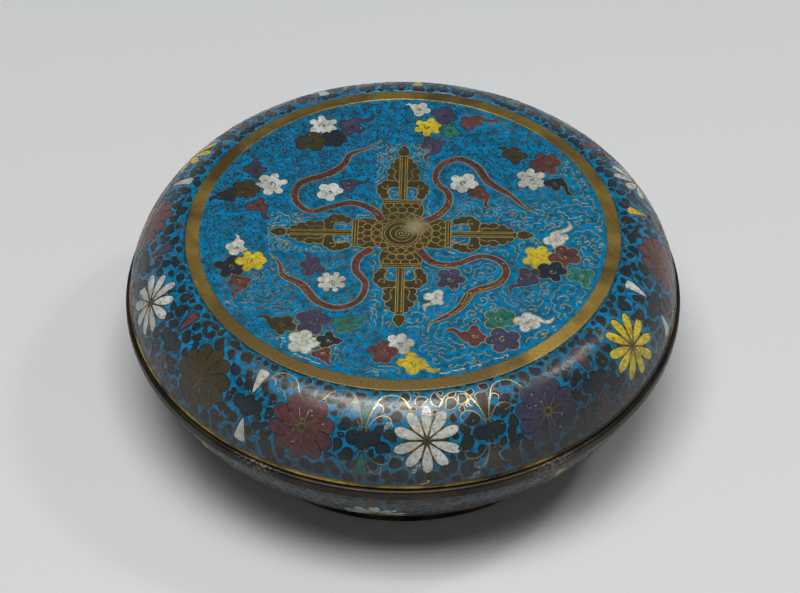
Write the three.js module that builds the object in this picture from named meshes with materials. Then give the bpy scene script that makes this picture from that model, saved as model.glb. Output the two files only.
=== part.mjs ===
import * as THREE from "three";

// A round cloisonné enamel box with a lift-off lid, in millimetres, +Z up. Z = 0 is what it stands on
// and the Z axis runs through the middle of the lid. Everything is turned about that axis: a raised
// copper base and lid, both hollow, and the gilt copper rings that edge and carry them.

// Heights above the ground
const LID_TOP = 57.5; // the lid's flat enamelled field
const LID_EDGE = 38.3; // where the lid's enamel stops and its gilt rim begins
const SEAT = 37.4; // the plane on which the lid sits on the base
const BASE_EDGE = 33.8; // where the base's enamel stops and its gilt rim begins
const BASE_BOTTOM = 8.3; // underside of the base, which is the top of the foot ring

// Radii and thicknesses
const MOUTH_R = 75; // outside of the enamel at the joint between lid and base
const FIELD_R = 59.1; // where the lid's flat top turns down into the shoulder
const WALL = 2.4; // copper sheet with enamel outside and counter-enamel inside
const RING_WIDTH = 3.9; // gilt ring that frames the lid's flat field
const RING_SEAT_DEPTH = 1.2; // the step in the lid that the gilt ring lies in
const RING_PROUD = 0.2; // how far the ring stands above the field
const RING_FALL = 0.4; // how far the ring's outer edge lies below the field
const CLEARANCE = 0.3; // between neighbours that don't bear on each other
const RIM_PROUD = 1.3; // how far the base's rim stands out past the enamel
const LIP_THICK = 1.2; // lip of the base's rim that locates the lid
const LIP_HEIGHT = 2.8; // of that lip, above the seat
const LIP_PLAY = 0.6; // between the lip and the inside of the lid
const SEAT_WIDTH = 1.8; // the part of the base's rim that the lid bears on
const FOOT_R = 53.5; // outside of the foot ring at its bottom
const FOOT_WALL = 2.6;
const BOWL_FOOT_R = 54; // where the base's wall meets the foot ring

// How round the two curved walls are: 2 is an ellipse, 1 a straight slope
const SHOULDER_FULLNESS = 1.83;
const BOWL_FULLNESS = 1.45;

const SIDES = 72; // facets round each turned piece

const enamel = new THREE.MeshStandardMaterial({ color: 0x0b6f9e, roughness: 0.3, metalness: 0 });
const giltCopper = new THREE.MeshStandardMaterial({ color: 0x8a7440, roughness: 0.4, metalness: 1 });

// A quarter of a superellipse from `from`, where it lies flat, to `to`, where it stands upright.
function curvedWall(from, to, fullness, steps) {
  const [flatR, flatZ] = from;
  const [uprightR, uprightZ] = to;
  return Array.from({ length: steps + 1 }, (_, i) => {
    const turn = (i / steps) * (Math.PI / 2);
    const out = Math.sin(turn) ** (2 / fullness);
    const along = Math.cos(turn) ** (2 / fullness);
    return [flatR + (uprightR - flatR) * out, uprightZ + (flatZ - uprightZ) * along];
  });
}

// Turns a closed outline of [radius, height] points, taken clockwise with the axis on the left.
function turned(name, outline, material) {
  const closed = outline[0][0] === 0 ? outline : [...outline, outline[0]];
  const points = closed.map(([r, z]) => new THREE.Vector2(r, z)).reverse();
  const mesh = new THREE.Mesh(new THREE.LatheGeometry(points, SIDES), material);
  mesh.name = name;
  mesh.rotation.x = Math.PI / 2;
  return mesh;
}

// The lid: one raised sheet of copper, enamelled all over, with a step for the gilt ring.
function lidBody() {
  const ringInner = FIELD_R - RING_WIDTH;
  const stepFloor = LID_TOP - RING_SEAT_DEPTH;
  const shoulderTop = [FIELD_R + CLEARANCE, LID_TOP - RING_FALL];
  const outside = curvedWall(shoulderTop, [MOUTH_R, LID_EDGE], SHOULDER_FULLNESS, 9);
  const innerTop = [ringInner, LID_TOP - WALL];
  const inside = curvedWall(innerTop, [MOUTH_R - WALL, LID_EDGE], SHOULDER_FULLNESS, 7);
  return turned(
    "lid_body",
    [
      [0, LID_TOP],
      [ringInner - CLEARANCE, LID_TOP],
      [ringInner - CLEARANCE, stepFloor],
      [FIELD_R + CLEARANCE, stepFloor],
      ...outside,
      ...inside.reverse(),
      [0, LID_TOP - WALL],
    ],
    enamel,
  );
}

// The flat gilt ring that lies in the lid's step and frames the field.
function lidRing() {
  const inner = FIELD_R - RING_WIDTH;
  const edge = 0.35; // its rounded arrises
  const floor = LID_TOP - RING_SEAT_DEPTH;
  const top = LID_TOP + RING_PROUD;
  return turned(
    "lid_ring",
    [
      [inner, floor],
      [inner, top - edge],
      [inner + edge, top],
      [FIELD_R - edge, top - RING_FALL],
      [FIELD_R, top - RING_FALL - edge],
      [FIELD_R, floor],
    ],
    giltCopper,
  );
}

// The thin gilt band on the lid's lower edge.
function lidRim() {
  const inner = MOUTH_R - WALL;
  const bulge = 0.25; // it stands out this far past the enamel, half way up
  return turned(
    "lid_rim",
    [
      [inner, LID_EDGE],
      [MOUTH_R, LID_EDGE],
      [MOUTH_R + bulge, (LID_EDGE + SEAT) / 2],
      [MOUTH_R, SEAT],
      [inner, SEAT],
    ],
    giltCopper,
  );
}

// The gilt band on the base's mouth, with the seat and the upright lip that keep the lid in place.
function baseRim() {
  const lipOuter = MOUTH_R - WALL - LIP_PLAY;
  const outer = MOUTH_R + RIM_PROUD;
  const shelf = SEAT - CLEARANCE; // the outer part of the rim stays this far below the lid
  const edge = 0.6;
  return turned(
    "base_rim",
    [
      [lipOuter - LIP_THICK, SEAT + LIP_HEIGHT],
      [lipOuter, SEAT + LIP_HEIGHT],
      [lipOuter, SEAT],
      [lipOuter + SEAT_WIDTH, SEAT],
      [lipOuter + SEAT_WIDTH, shelf],
      [outer - edge, shelf],
      [outer, shelf - edge],
      [outer, BASE_EDGE + edge],
      [outer - edge, BASE_EDGE],
      [lipOuter - LIP_THICK, BASE_EDGE],
    ],
    giltCopper,
  );
}

// The base: one raised copper bowl with a flat floor, enamelled inside and out.
function baseBody() {
  const floor = BASE_BOTTOM + WALL;
  const outside = curvedWall([BOWL_FOOT_R, BASE_BOTTOM], [MOUTH_R, BASE_EDGE], BOWL_FULLNESS, 8);
  const inside = curvedWall([BOWL_FOOT_R - WALL / 2, floor], [MOUTH_R - WALL, BASE_EDGE], BOWL_FULLNESS, 7);
  return turned("base_body", [[0, floor], ...inside, ...outside.reverse(), [0, BASE_BOTTOM]], enamel);
}

// The foot: a gilt copper ring soldered under the bowl, a little thicker where it stands.
function footRing() {
  const inner = FOOT_R - FOOT_WALL;
  const edge = 0.5;
  const tread = 2.2; // height of its thicker lower edge
  const waist = 0.5; // how much thinner the ring is above that
  return turned(
    "foot_ring",
    [
      [inner, BASE_BOTTOM],
      [FOOT_R - waist, BASE_BOTTOM],
      [FOOT_R - waist, tread + waist],
      [FOOT_R, tread],
      [FOOT_R, edge],
      [FOOT_R - edge, 0],
      [inner, 0],
    ],
    giltCopper,
  );
}

const base = new THREE.Group();
base.add(footRing(), baseBody(), baseRim());

const lid = new THREE.Group();
lid.add(lidRim(), lidBody(), lidRing());

const box = new THREE.Group();
box.add(base, lid);

export default box;
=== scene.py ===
import math

import bpy
import numpy as np
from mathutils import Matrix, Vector
from mathutils.geometry import delaunay_2d_cdt
from mathutils.kdtree import KDTree


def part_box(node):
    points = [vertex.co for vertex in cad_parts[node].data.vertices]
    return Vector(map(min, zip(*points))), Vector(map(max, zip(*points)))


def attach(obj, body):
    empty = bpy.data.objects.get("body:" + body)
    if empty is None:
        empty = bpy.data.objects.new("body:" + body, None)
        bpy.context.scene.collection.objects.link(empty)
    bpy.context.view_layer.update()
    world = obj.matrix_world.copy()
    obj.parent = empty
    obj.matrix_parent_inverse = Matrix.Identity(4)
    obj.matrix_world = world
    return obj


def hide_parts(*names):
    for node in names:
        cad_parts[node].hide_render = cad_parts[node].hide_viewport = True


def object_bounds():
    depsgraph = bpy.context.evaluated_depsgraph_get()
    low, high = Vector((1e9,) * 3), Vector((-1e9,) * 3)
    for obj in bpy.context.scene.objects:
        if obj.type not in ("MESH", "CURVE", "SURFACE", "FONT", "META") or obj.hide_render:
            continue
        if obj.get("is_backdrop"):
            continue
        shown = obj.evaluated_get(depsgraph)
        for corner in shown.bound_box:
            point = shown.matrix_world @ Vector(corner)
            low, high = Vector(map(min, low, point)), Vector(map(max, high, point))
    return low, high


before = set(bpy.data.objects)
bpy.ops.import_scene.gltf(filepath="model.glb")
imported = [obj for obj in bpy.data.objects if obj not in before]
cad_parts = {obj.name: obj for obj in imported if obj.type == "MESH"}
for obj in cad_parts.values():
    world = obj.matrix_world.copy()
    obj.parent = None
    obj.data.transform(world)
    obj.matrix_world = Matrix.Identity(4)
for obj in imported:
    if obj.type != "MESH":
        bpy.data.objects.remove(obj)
cad_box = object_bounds()


# ---- Foot ring ----------------------------------------------------------------------------------------
# A ring of sheet copper, bent up and soldered under the bowl, then fire gilt. The gilding is rubbed thin
# and brown with tarnish, so it is satin rather than bright. Turned, with every arris rounded.
MM = 0.001
TURN_STEPS = 360


def linear(colour):
    """sRGB hex to linear RGBA."""
    channels = [int(colour[i : i + 2], 16) / 255 for i in (0, 2, 4)]
    return (*[c / 12.92 if c <= 0.04045 else ((c + 0.055) / 1.055) ** 2.4 for c in channels], 1.0)


def size(node, corner, axis):
    """A CAD node's lowest (0) or highest (1) coordinate along an axis, in millimetres."""
    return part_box(node)[corner][axis] / MM


def new_object(name, data):
    """A new object in the scene."""
    made = bpy.data.objects.new(name, data)
    bpy.context.scene.collection.objects.link(made)
    return made


def feed(tree, node, inputs):
    """Gives each input its value, or the socket that feeds it."""
    for key, value in inputs.items():
        if isinstance(value, bpy.types.NodeSocket):
            tree.links.new(value, node.inputs[key])
        else:
            node.inputs[key].default_value = value


def add(tree, kind, inputs=None, **settings):
    """Adds a node with its settings and inputs."""
    node = tree.nodes.new(kind)
    for key, value in settings.items():
        setattr(node, key, value)
    feed(tree, node, inputs or {})
    return node


def maths(tree, operation, *values):
    """The result of a sum; each value is a number or a socket."""
    return add(tree, "ShaderNodeMath", dict(enumerate(values)), operation=operation).outputs[0]


def ramp(tree, value, low, high, start=0.0, end=1.0):
    """Goes from `start` to `end` while `value` goes from `low` to `high`, and stays level beyond."""
    limits = {"From Min": low, "From Max": high, "To Min": start, "To Max": end}
    return add(tree, "ShaderNodeMapRange", {"Value": value, **limits}).outputs[0]


def blend(tree, share, first, second, mode="MIX"):
    """A mix of two colours, each a hex or a socket."""
    first, second = (linear(c) if isinstance(c, str) else c for c in (first, second))
    inputs = {0: share, 6: first, 7: second}
    return add(tree, "ShaderNodeMix", inputs, data_type="RGBA", blend_type=mode).outputs[2]


def fractal(tree, place, size_mm, detail, roughness=0.5):
    """Fractal noise whose largest features are about `size_mm` across."""
    inputs = {"Vector": place, "Scale": 1 / (size_mm * MM), "Detail": detail, "Roughness": roughness}
    return add(tree, "ShaderNodeTexNoise", inputs).outputs[0]


def new_material(name):
    """A material with its node tree, its shader and the object's own coordinates."""
    material = bpy.data.materials.new(name)
    material.use_nodes = True
    tree = material.node_tree
    place = add(tree, "ShaderNodeTexCoord").outputs["Object"]
    return material, tree, tree.nodes["Principled BSDF"], place


def rounded(corners, steps=4):
    """A closed outline from corners (radius, height, rounding), each rounded by an arc."""
    outline = []
    for i, (r, z, rounding) in enumerate(corners):
        here = np.array([r, z])
        before = np.array(corners[i - 1][:2]) - here
        after = np.array(corners[(i + 1) % len(corners)][:2]) - here
        if not rounding:
            outline.append(tuple(here))
            continue
        start = here + before / np.linalg.norm(before) * rounding
        end = here + after / np.linalg.norm(after) * rounding
        for t in np.linspace(0, 1, steps + 1):
            outline.append(tuple((1 - t) ** 2 * start + 2 * t * (1 - t) * here + t**2 * end))
    return outline


def outline_normals(outline, closed):
    """Normals of an outline of (radius, height), on its left, leaning to the longer neighbour."""
    points = np.array(outline, float)
    steps = np.diff(np.vstack([points, points[:1]]) if closed else points, axis=0)
    left = np.stack([-steps[:, 1], steps[:, 0]], 1)
    if closed:
        return left + np.roll(left, 1, axis=0)
    return np.vstack([left[:1], left[:-1] + left[1:], left[-1:]])


def mesh_piece(name, points, faces, normals, materials, face_materials=None):
    """A smooth mesh object from points in millimetres."""
    mesh = bpy.data.meshes.new(name)
    mesh.from_pydata((np.asarray(points) * MM).tolist(), [], faces)
    for material in materials:
        mesh.materials.append(material)
    mesh.polygons.foreach_set("use_smooth", [True] * len(mesh.polygons))
    if face_materials is not None:
        mesh.polygons.foreach_set("material_index", face_materials)
    lengths = np.linalg.norm(normals, axis=1, keepdims=True)
    mesh.normals_split_custom_set_from_vertices((np.asarray(normals) / lengths).tolist())
    return new_object(name, mesh)


def spun(outline, normals, closed):
    """Points, faces and normals of an outline turned about Z; faces point to the outline's left."""
    angles = np.arange(TURN_STEPS) * 2 * math.pi / TURN_STEPS
    ring = np.stack([np.cos(angles), np.sin(angles)], 1)
    points, leans = [], []
    for (r, z), (nr, nz) in zip(outline, normals):
        points.append(np.column_stack([ring * r, np.full(TURN_STEPS, z)]))
        leans.append(np.column_stack([ring * nr, np.full(TURN_STEPS, nz)]))
    count = len(outline)
    faces = []
    for i in range(count if closed else count - 1):
        a, b = i * TURN_STEPS, (i + 1) % count * TURN_STEPS
        for k in range(TURN_STEPS):
            n = (k + 1) % TURN_STEPS
            faces.append((a + k, b + k, b + n, a + n))
    return np.vstack(points), faces, np.vstack(leans)


def turned(name, corners, material):
    """A turned piece, from the corners of its section."""
    outline = rounded(corners)
    points, faces, normals = spun(outline, outline_normals(outline, True), True)
    return mesh_piece(name, points, faces, normals, [material])


EDGE_RAGGED = 1.2  # how far a spot's edge wanders, and how soft it is, as shares of its reach
EDGE_SOFT = 0.4


def near(tree, place, centre, reach, noise):
    """1 at `centre` falling to 0 at `reach` (both millimetres), with an edge broken up by `noise`."""
    spot = [c * MM for c in centre]
    away = add(tree, "ShaderNodeVectorMath", {0: place, 1: spot}, operation="DISTANCE").outputs["Value"]
    ragged = maths(tree, "MULTIPLY_ADD", noise, -EDGE_RAGGED * reach * MM, away)
    return ramp(tree, ragged, -EDGE_SOFT * reach * MM, EDGE_SOFT * reach * MM, 1.0, 0.0)


# The gold is brighter towards the front right, partly from wear and partly painted light.
FRONT_RIGHT = (0.7 / (60 * MM), -0.7 / (60 * MM), 0)  # grows by about 1 in 60 mm that way
LIGHT_AND_WEAR_SHARE = 0.12
BARE_LOSS = -0.7
# Scratches and pin-holes in gilding are too fine to show, so they are drawn coarser, at 0.7 mm.
GILDING_GRIME_MM, GILDING_GRIME = 0.7, "2A2218"
KNOCKED = "77736B"


def old_gilding(name, gold, tarnish, patch_mm, roughness=0.42, rubbed=0.0, bare=None, chips=()):
    """Fire gilding on copper: thin gold over reddish metal, with brown tarnish in patches, fine scratches
    and pin-holes. A metal, satin where it is handled and duller where the tarnish lies. `rubbed` is how
    much more gold shows on the front right than on the back left, partly from wear and partly painted
    light. A mesh's own attribute "gold" adds to it, with painted highlight and shade on some wires, and
    round `bare`, a point and a reach, it has all gone. `chips` are places, given the same way, where the
    metal is knocked and pale."""
    material, tree, shader, place = new_material(name)
    patches = fractal(tree, place, patch_mm, 5.0)
    # Gold brighter towards the front right: partly wear, partly painted light.
    towards = add(tree, "ShaderNodeVectorMath", {0: place, 1: FRONT_RIGHT}, operation="DOT_PRODUCT")
    worn_and_lit = maths(tree, "MULTIPLY_ADD", towards.outputs["Value"], rubbed * LIGHT_AND_WEAR_SHARE, patches)
    own = add(tree, "ShaderNodeAttribute", attribute_name="gold").outputs["Fac"]
    left = maths(tree, "ADD", worn_and_lit, own)
    if bare:
        left = maths(tree, "MULTIPLY_ADD", near(tree, place, *bare, patches), BARE_LOSS, left)
    grime = fractal(tree, place, GILDING_GRIME_MM, 6.0)
    metal = blend(tree, ramp(tree, left, 0.38, 0.62), tarnish, gold)
    metal = blend(tree, ramp(tree, grime, 0.45, 0.75, 0.0, 0.5), metal, GILDING_GRIME)
    for chip in chips:
        fleck = maths(tree, "MULTIPLY", near(tree, place, *chip, patches), ramp(tree, grime, 0.5, 0.6))
        metal = blend(tree, fleck, metal, KNOCKED)
    rough = ramp(tree, grime, 0.0, 1.0, roughness - 0.12, roughness + 0.2)
    bump = add(tree, "ShaderNodeBump", {"Height": grime, "Strength": 0.35, "Distance": 0.12 * MM})
    look = {"Base Color": metal, "Roughness": rough, "Normal": bump.outputs[0], "Metallic": 1.0}
    feed(tree, shader, look)
    return material


foot_gilding = old_gilding("old gilding, foot", gold="6B5733", tarnish="3A3226", patch_mm=9)
FOOT_R = size("foot_ring", 1, 0)
BASE_BOTTOM = size("foot_ring", 1, 2)
FOOT_WALL = 2.6
FOOT_WAIST = 0.5
FOOT_TREAD = 2.2
foot_ring = turned(
    "foot_ring_gilt",
    [
        (FOOT_R - FOOT_WALL, BASE_BOTTOM, 0),
        (FOOT_R - FOOT_WAIST, BASE_BOTTOM, 0),
        (FOOT_R - FOOT_WAIST, FOOT_TREAD + FOOT_WAIST, 0.3),
        (FOOT_R, FOOT_TREAD, 0.3),
        (FOOT_R, 0, 0.6),
        (FOOT_R - FOOT_WALL, 0, 0.4),
    ],
    foot_gilding,
)
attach(foot_ring, "root")
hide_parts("foot_ring")


# ---- Base ---------------------------------------------------------------------------------------------
# A bowl raised from copper sheet. Outside, thin copper wires are fixed on edge to outline a lotus scroll,
# each cell is filled with ground glass and fired, and the whole is polished flush, so it reads as smooth,
# glassy colour between fine metal lines. Inside and below it has plain turquoise counter-enamel.
BASE_EDGE = size("base_body", 1, 2)
MOUTH_R = size("base_body", 1, 0)
WALL = 2.4
BOWL_FOOT_R = 54
BOWL_FULLNESS = 1.45
LINE_STEP = 0.62  # spacing of the points along every wire
PAINTED_SHADE_LOW, PAINTED_SHADE_HIGH = 38, 54  # painted shade darkens the enamel more and more between these heights, downwards
# Colour of the painted shade lower down, and of the dirt in patches and the muddy spot.
SHADE_AND_DIRT_COLOUR = "1D1F1F"
DULL_LOW, DULL_HIGH = 32, 45  # the gloss is lowered between these heights, downwards
GLOSS_LOW, GLOSS_HIGH = 0.12, 0.42
MUDDY_SPOT, MUDDY_REACH = (50, -57, 42), 27  # the front right of the lid's shoulder, dull and brown
RUBBED_SPOT, RUBBED_REACH, RUBBED_COLOUR = (3.4, 2.6, 57.5), 4.2, "8E8872"  # beside the middle of the lid
# Grains of ground glass are under 0.2 mm across, too fine to show, so they are drawn coarser, at 0.5.
GRAIN_MM, DIRT_MM, RIPPLE_MM, BUBBLE_MM = 0.5, 1.3, 2.6, 1.1
GLASS_IOR = 1.52
AXIS_R = 1e-5  # where an outline that ends on the axis stops
rng = np.random.default_rng(7)


def enamel(name, colour, deep, cloud_mm=5.0, pits=0.25, pit_colour="1B1A14", stain="2B3A3A", shade_and_dirt=0.76):
    """Cloisonné enamel: opaque coloured glass, ground flush and polished. It shows slight clouding, grains
    that did not melt, dirt along its flaws, pin-holes from gas bubbles, and a faintly rippled gloss.
    Painted shade darkens it more and more towards the bottom, mixed with dirt in patches."""
    material, tree, shader, place = new_material(name)
    height = add(tree, "ShaderNodeSeparateXYZ", {0: place}).outputs[2]
    clouds = fractal(tree, place, cloud_mm, 4.0)
    grains = fractal(tree, place, GRAIN_MM, 3.0)
    dirt = fractal(tree, place, DIRT_MM, 5.0, 0.7)
    glass = blend(tree, ramp(tree, clouds, 0.35, 0.65), colour, deep)
    glass = blend(tree, 1.0, glass, ramp(tree, grains, 0.3, 0.7, 0.78, 1.18), "MULTIPLY")
    glass = blend(tree, ramp(tree, dirt, 0.48, 0.66, 0.0, 0.85), glass, stain)
    # Painted shade, darker lower down, mixed with dirt in patches and a muddy spot.
    mud = near(tree, place, MUDDY_SPOT, MUDDY_REACH, clouds)
    # Painted shade: the lower the enamel, the darker it is drawn.
    low = ramp(tree, height, PAINTED_SHADE_LOW * MM, PAINTED_SHADE_HIGH * MM)
    lit_and_clean = maths(tree, "MULTIPLY_ADD", clouds, 0.9, maths(tree, "MULTIPLY_ADD", mud, -0.9, low))
    glass = blend(tree, ramp(tree, lit_and_clean, 0.3, 1.35, shade_and_dirt, 0.0), glass, SHADE_AND_DIRT_COLOUR)
    # The rubbed spot, kept off the lid's inside.
    rubbed = near(tree, place, RUBBED_SPOT, RUBBED_REACH, dirt)
    outside = maths(tree, "GREATER_THAN", height, (RUBBED_SPOT[2] - 1) * MM)
    glass = blend(tree, maths(tree, "MULTIPLY", rubbed, outside), glass, RUBBED_COLOUR)
    # Pin-holes: `pits` is the share of the bubbles that broke open.
    bubbles = add(tree, "ShaderNodeTexVoronoi", {"Vector": place, "Scale": 1 / (BUBBLE_MM * MM)}).outputs
    hole = ramp(tree, bubbles["Distance"], 0.1, 0.24, 1.0, 0.0)
    chance = add(tree, "ShaderNodeTexWhiteNoise", {"Vector": bubbles["Position"]}).outputs["Value"]
    pit = maths(tree, "MULTIPLY", hole, maths(tree, "LESS_THAN", chance, pits))
    rough = maths(tree, "MULTIPLY_ADD", pit, 0.5, ramp(tree, clouds, 0.0, 1.0, 0.14, 0.38))
    ripple = fractal(tree, place, RIPPLE_MM, 2.0)
    rippled = add(tree, "ShaderNodeBump", {"Height": ripple, "Strength": 0.5, "Distance": 0.14 * MM})
    sunk = {"Height": pit, "Strength": 0.8, "Distance": 0.08 * MM, "Normal": rippled.outputs[0]}
    pitted = add(tree, "ShaderNodeBump", sunk, invert=True)
    gloss = ramp(tree, height, DULL_LOW * MM, DULL_HIGH * MM, GLOSS_LOW, GLOSS_HIGH)
    look = {"Base Color": blend(tree, pit, glass, pit_colour), "Roughness": rough, "IOR": GLASS_IOR}
    feed(tree, shader, {**look, "Normal": pitted.outputs[0], "Specular IOR Level": gloss})
    return material


PALE = {"pits": 0.45, "shade_and_dirt": 0.35}  # the pale ones are more pitted, and painted shade and dirt show less on them
ENAMELS = {
    "turquoise": enamel("turquoise enamel", "0084B8", "045E80", cloud_mm=3, pits=0.14, stain="163C44"),
    "oxblood": enamel("oxblood enamel", "6B4446", "503738", pits=0.1, pit_colour="B58F84", stain="3A2A28"),
    "aubergine": enamel("aubergine enamel", "4A4663", "393749", pits=0.12, pit_colour="8F8AA6"),
    "lapis": enamel("blue-black enamel", "262F3E", "252B2D", pits=0.15, pit_colour="5A6472"),
    "pine": enamel("green-black enamel", "293432", "2E2E28", pits=0.1, pit_colour="5A6472"),
    "tobacco": enamel("tobacco enamel", "4B4127", "3A3323", cloud_mm=3, pits=0.1, pit_colour="8C7A50"),
    "white": enamel("white enamel", "CFD4D0", "A6A9A1", pit_colour="4C4A3C", stain="7E7A66", **PALE),
    "yellow": enamel("yellow enamel", "D8C43A", "AE9A34", pit_colour="54451A", stain="7A6628", **PALE),
    "malachite": enamel("green enamel", "2A7C6C", "2C6256", pits=0.15, pit_colour="14382E"),
}
ENAMEL_NAMES = list(ENAMELS)


def curved_wall(flat, upright, fullness, steps):
    """A quarter of a superellipse from `flat`, where it lies level, to `upright`, where it stands."""
    turn = np.linspace(0, math.pi / 2, steps + 1)
    out = np.sin(turn) ** (2 / fullness)
    along = np.cos(turn) ** (2 / fullness)
    r = flat[0] + (upright[0] - flat[0]) * out
    z = upright[1] + (flat[1] - upright[1]) * along
    return list(zip(r, z))


def unrolled(profile, start):
    """How a flat plan lies on a turned surface: a plan point's distance from the middle, less `start`, is
    its way along the profile. Returns a function from plan points to points in space and normals."""
    points = np.array(profile, float)
    steps = np.hypot(*np.diff(points, axis=0).T)
    way = start + np.concatenate([[0], np.cumsum(steps)])
    lean = outline_normals(profile, False)
    lean /= np.linalg.norm(lean, axis=1, keepdims=True)

    def place(plan, lift=0.0):
        rho, angle = np.abs(plan), np.angle(plan)
        nr, nz = (np.interp(rho, way, lean[:, i]) for i in (0, 1))
        r = np.interp(rho, way, points[:, 0]) + nr * lift
        z = np.interp(rho, way, points[:, 1]) + nz * lift
        cos, sin = np.cos(angle), np.sin(angle)
        return np.stack([r * cos, r * sin, z], 1), np.stack([nr * cos, nr * sin, nz], 1)

    return place, way[-1]


def circle(centre, radius):
    count = max(9, round(2 * math.pi * radius / LINE_STEP))
    return centre + radius * np.exp(2j * math.pi * np.arange(count) / count)


def anticlockwise(outline):
    following = np.roll(outline, -1)
    area = np.sum(outline.real * following.imag - following.real * outline.imag)
    return outline if area > 0 else outline[::-1]


class Design:
    """A drawing in the plan: cells in painting order, and the open wires inside them."""

    def __init__(self):
        self.cells = []
        self.wires = []
        self.groups = 0
        self.hearts = []

    def group(self):
        self.groups += 1
        return self.groups

    def cell(self, outline, colour, group=None):
        self.cells.append((anticlockwise(np.asarray(outline)), colour, group or self.group()))

    def wire(self, path):
        self.wires.append(np.asarray(path))

    def cut(self, inner, outer, grain):
        """Triangles of the drawing between two radii, each triangle's enamel, and the wires between cells."""
        border = np.exp(2j * math.pi * np.arange(TURN_STEPS) / TURN_STEPS)
        loops = [outer * border] + [outline for outline, _, _ in self.cells]
        colours = ["turquoise"] + [colour for _, colour, _ in self.cells]
        groups = [0] + [group for _, _, group in self.cells]
        if inner:
            loops.append(inner * border)
            colours.append(None)
            groups.append(-1)
        points = np.concatenate(loops)
        drawn = KDTree(len(points))
        for i, point in enumerate(points):
            drawn.insert((point.real, point.imag, 0), i)
        drawn.balance()
        filling = []
        for row in range(1, int((outer - inner) / grain)):
            rho = inner + row * grain
            count = max(6, round(2 * math.pi * rho / grain))
            for k in range(count):
                p = rho * np.exp(2j * math.pi * (k + row % 2 / 2) / count)
                if drawn.find((p.real, p.imag, 0))[2] > grain * 0.45:
                    filling.append(p)
        every = np.concatenate([points, filling]) if filling else points
        starts = np.cumsum([0] + [len(loop) for loop in loops])
        faces = [list(range(a, b)) for a, b in zip(starts[:-1], starts[1:])]
        corners, _, triangles, _, _, owners = delaunay_2d_cdt(
            [Vector((p.real, p.imag)) for p in every], [], faces, 1, 1e-4, True
        )
        plan = np.array([complex(*corner) for corner in corners])
        kept, shades, sides = [], [], {}
        for triangle, owned in zip(triangles, owners):
            if not owned or colours[max(owned)] is None:
                continue
            kept.append(tuple(triangle))
            shades.append(ENAMEL_NAMES.index(colours[max(owned)]))
            for a, b in zip(triangle, triangle[1:] + triangle[:1]):
                sides.setdefault((min(a, b), max(a, b)), set()).add(groups[max(owned)])
        edges = [pair for pair, between in sides.items() if len(between) > 1]
        return plan, kept, shades, edges


class Ground:
    """Where wires and cells already lie between two radii, to keep new ones clear of them."""

    def __init__(self, inner, outer):
        self.inner = inner
        self.outer = outer
        self.spots = {}

    def take(self, points):
        for p in points:
            self.spots.setdefault((math.floor(p.real), math.floor(p.imag)), []).append(p)

    def fill(self, outline, shares):
        """Takes an outline, and smaller copies of it inside."""
        middle = outline.mean()
        self.take(outline)
        for share in shares:
            self.take(middle + (outline - middle) * share)

    def anywhere(self):
        rho = self.inner + (self.outer - self.inner) * rng.random()
        return rho * np.exp(2j * math.pi * rng.random())

    def clear(self, p, gap):
        if not self.inner + gap < abs(p) < self.outer - gap:
            return False
        reach = math.ceil(gap)
        column, row = math.floor(p.real), math.floor(p.imag)
        for i in range(column - reach, column + reach + 1):
            for j in range(row - reach, row + reach + 1):
                if any(abs(p - q) < gap for q in self.spots.get((i, j), ())):
                    return False
        return True


SCALLOP_STEP = 0.45
SCALLOP_BULGE = 0.38
OTHER_TURNS = (-0.2, 1.2, -0.9, 1.8)  # ways a wire cloud tries when the first is blocked


def scallop(start, end, hand):
    """One bulge of a cloud's edge. `hand` says to which side it swells."""
    t = np.arange(0, 1, SCALLOP_STEP / (1.25 * abs(end - start)))
    return start + (end - start) * (t - 1j * SCALLOP_BULGE * hand * np.sin(math.pi * t) ** 0.8)


def wander(ground, start, chord, gap):
    """A wire cloud's contour: a small curl, then scallops that turn mostly one way, until the next one
    would run into something."""
    hand = 1 if rng.random() > 0.5 else -1
    way = 2 * math.pi * rng.random()
    turn = np.linspace(0, 1, 8)
    path = list(start + 0.42 * chord * (0.15 + turn) * np.exp(1j * (way + hand * 4.4 * turn)))
    here = path[-1]
    way = np.angle(here - path[-2])
    for _ in range(rng.integers(5, 22)):
        for lean in (0.25 + 0.6 * rng.random(), *OTHER_TURNS):
            ahead = here + chord * (0.8 + 0.4 * rng.random()) * np.exp(1j * (way + hand * lean))
            bulge = scallop(here, ahead, hand)
            if all(ground.clear(p, gap) for p in (*bulge[2:], ahead)):
                if min(abs(ahead - q) for q in path[:-4]) > gap:
                    break
        else:
            break
        path += list(bulge[1:])
        here, way = ahead, way + hand * lean
    return np.array(path)


def shell(name, parts, materials):
    """Joins parts (points, faces, normals, face materials) into one closed mesh, welding equal points."""
    points = np.vstack([part[0] for part in parts])
    normals = np.vstack([part[2] for part in parts])
    _, index, back = np.unique(np.round(points, 4), axis=0, return_index=True, return_inverse=True)
    back = back.reshape(-1)
    faces, face_materials, offset = [], [], 0
    for part_points, part_faces, _, shades in parts:
        for face, shade in zip(part_faces, shades):
            corners = list(dict.fromkeys(int(back[c + offset]) for c in face))
            if len(corners) > 2:
                faces.append(corners)
                face_materials.append(shade)
        offset += len(part_points)
    return mesh_piece(name, points[index], faces, normals[index], materials, face_materials)


def lathe_part(outline, shade):
    """A part for `shell`, turned from an outline, in one enamel."""
    points, faces, normals = spun(outline, outline_normals(outline, False), False)
    return points, faces, normals, [shade] * len(faces)


# The wires are a net of edges in the plan. Geometry Nodes draw each as a thin strip, ground flush with the
# enamel, and set a small bead of gold where a curl ends.
WIRE_HALF = 0.155
WIRE_FLATNESS = 0.4  # its height as a share of its width
WIRE_LIFT = -0.01
BEAD_R = 0.4
BEAD_LIFT = -0.26


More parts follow.
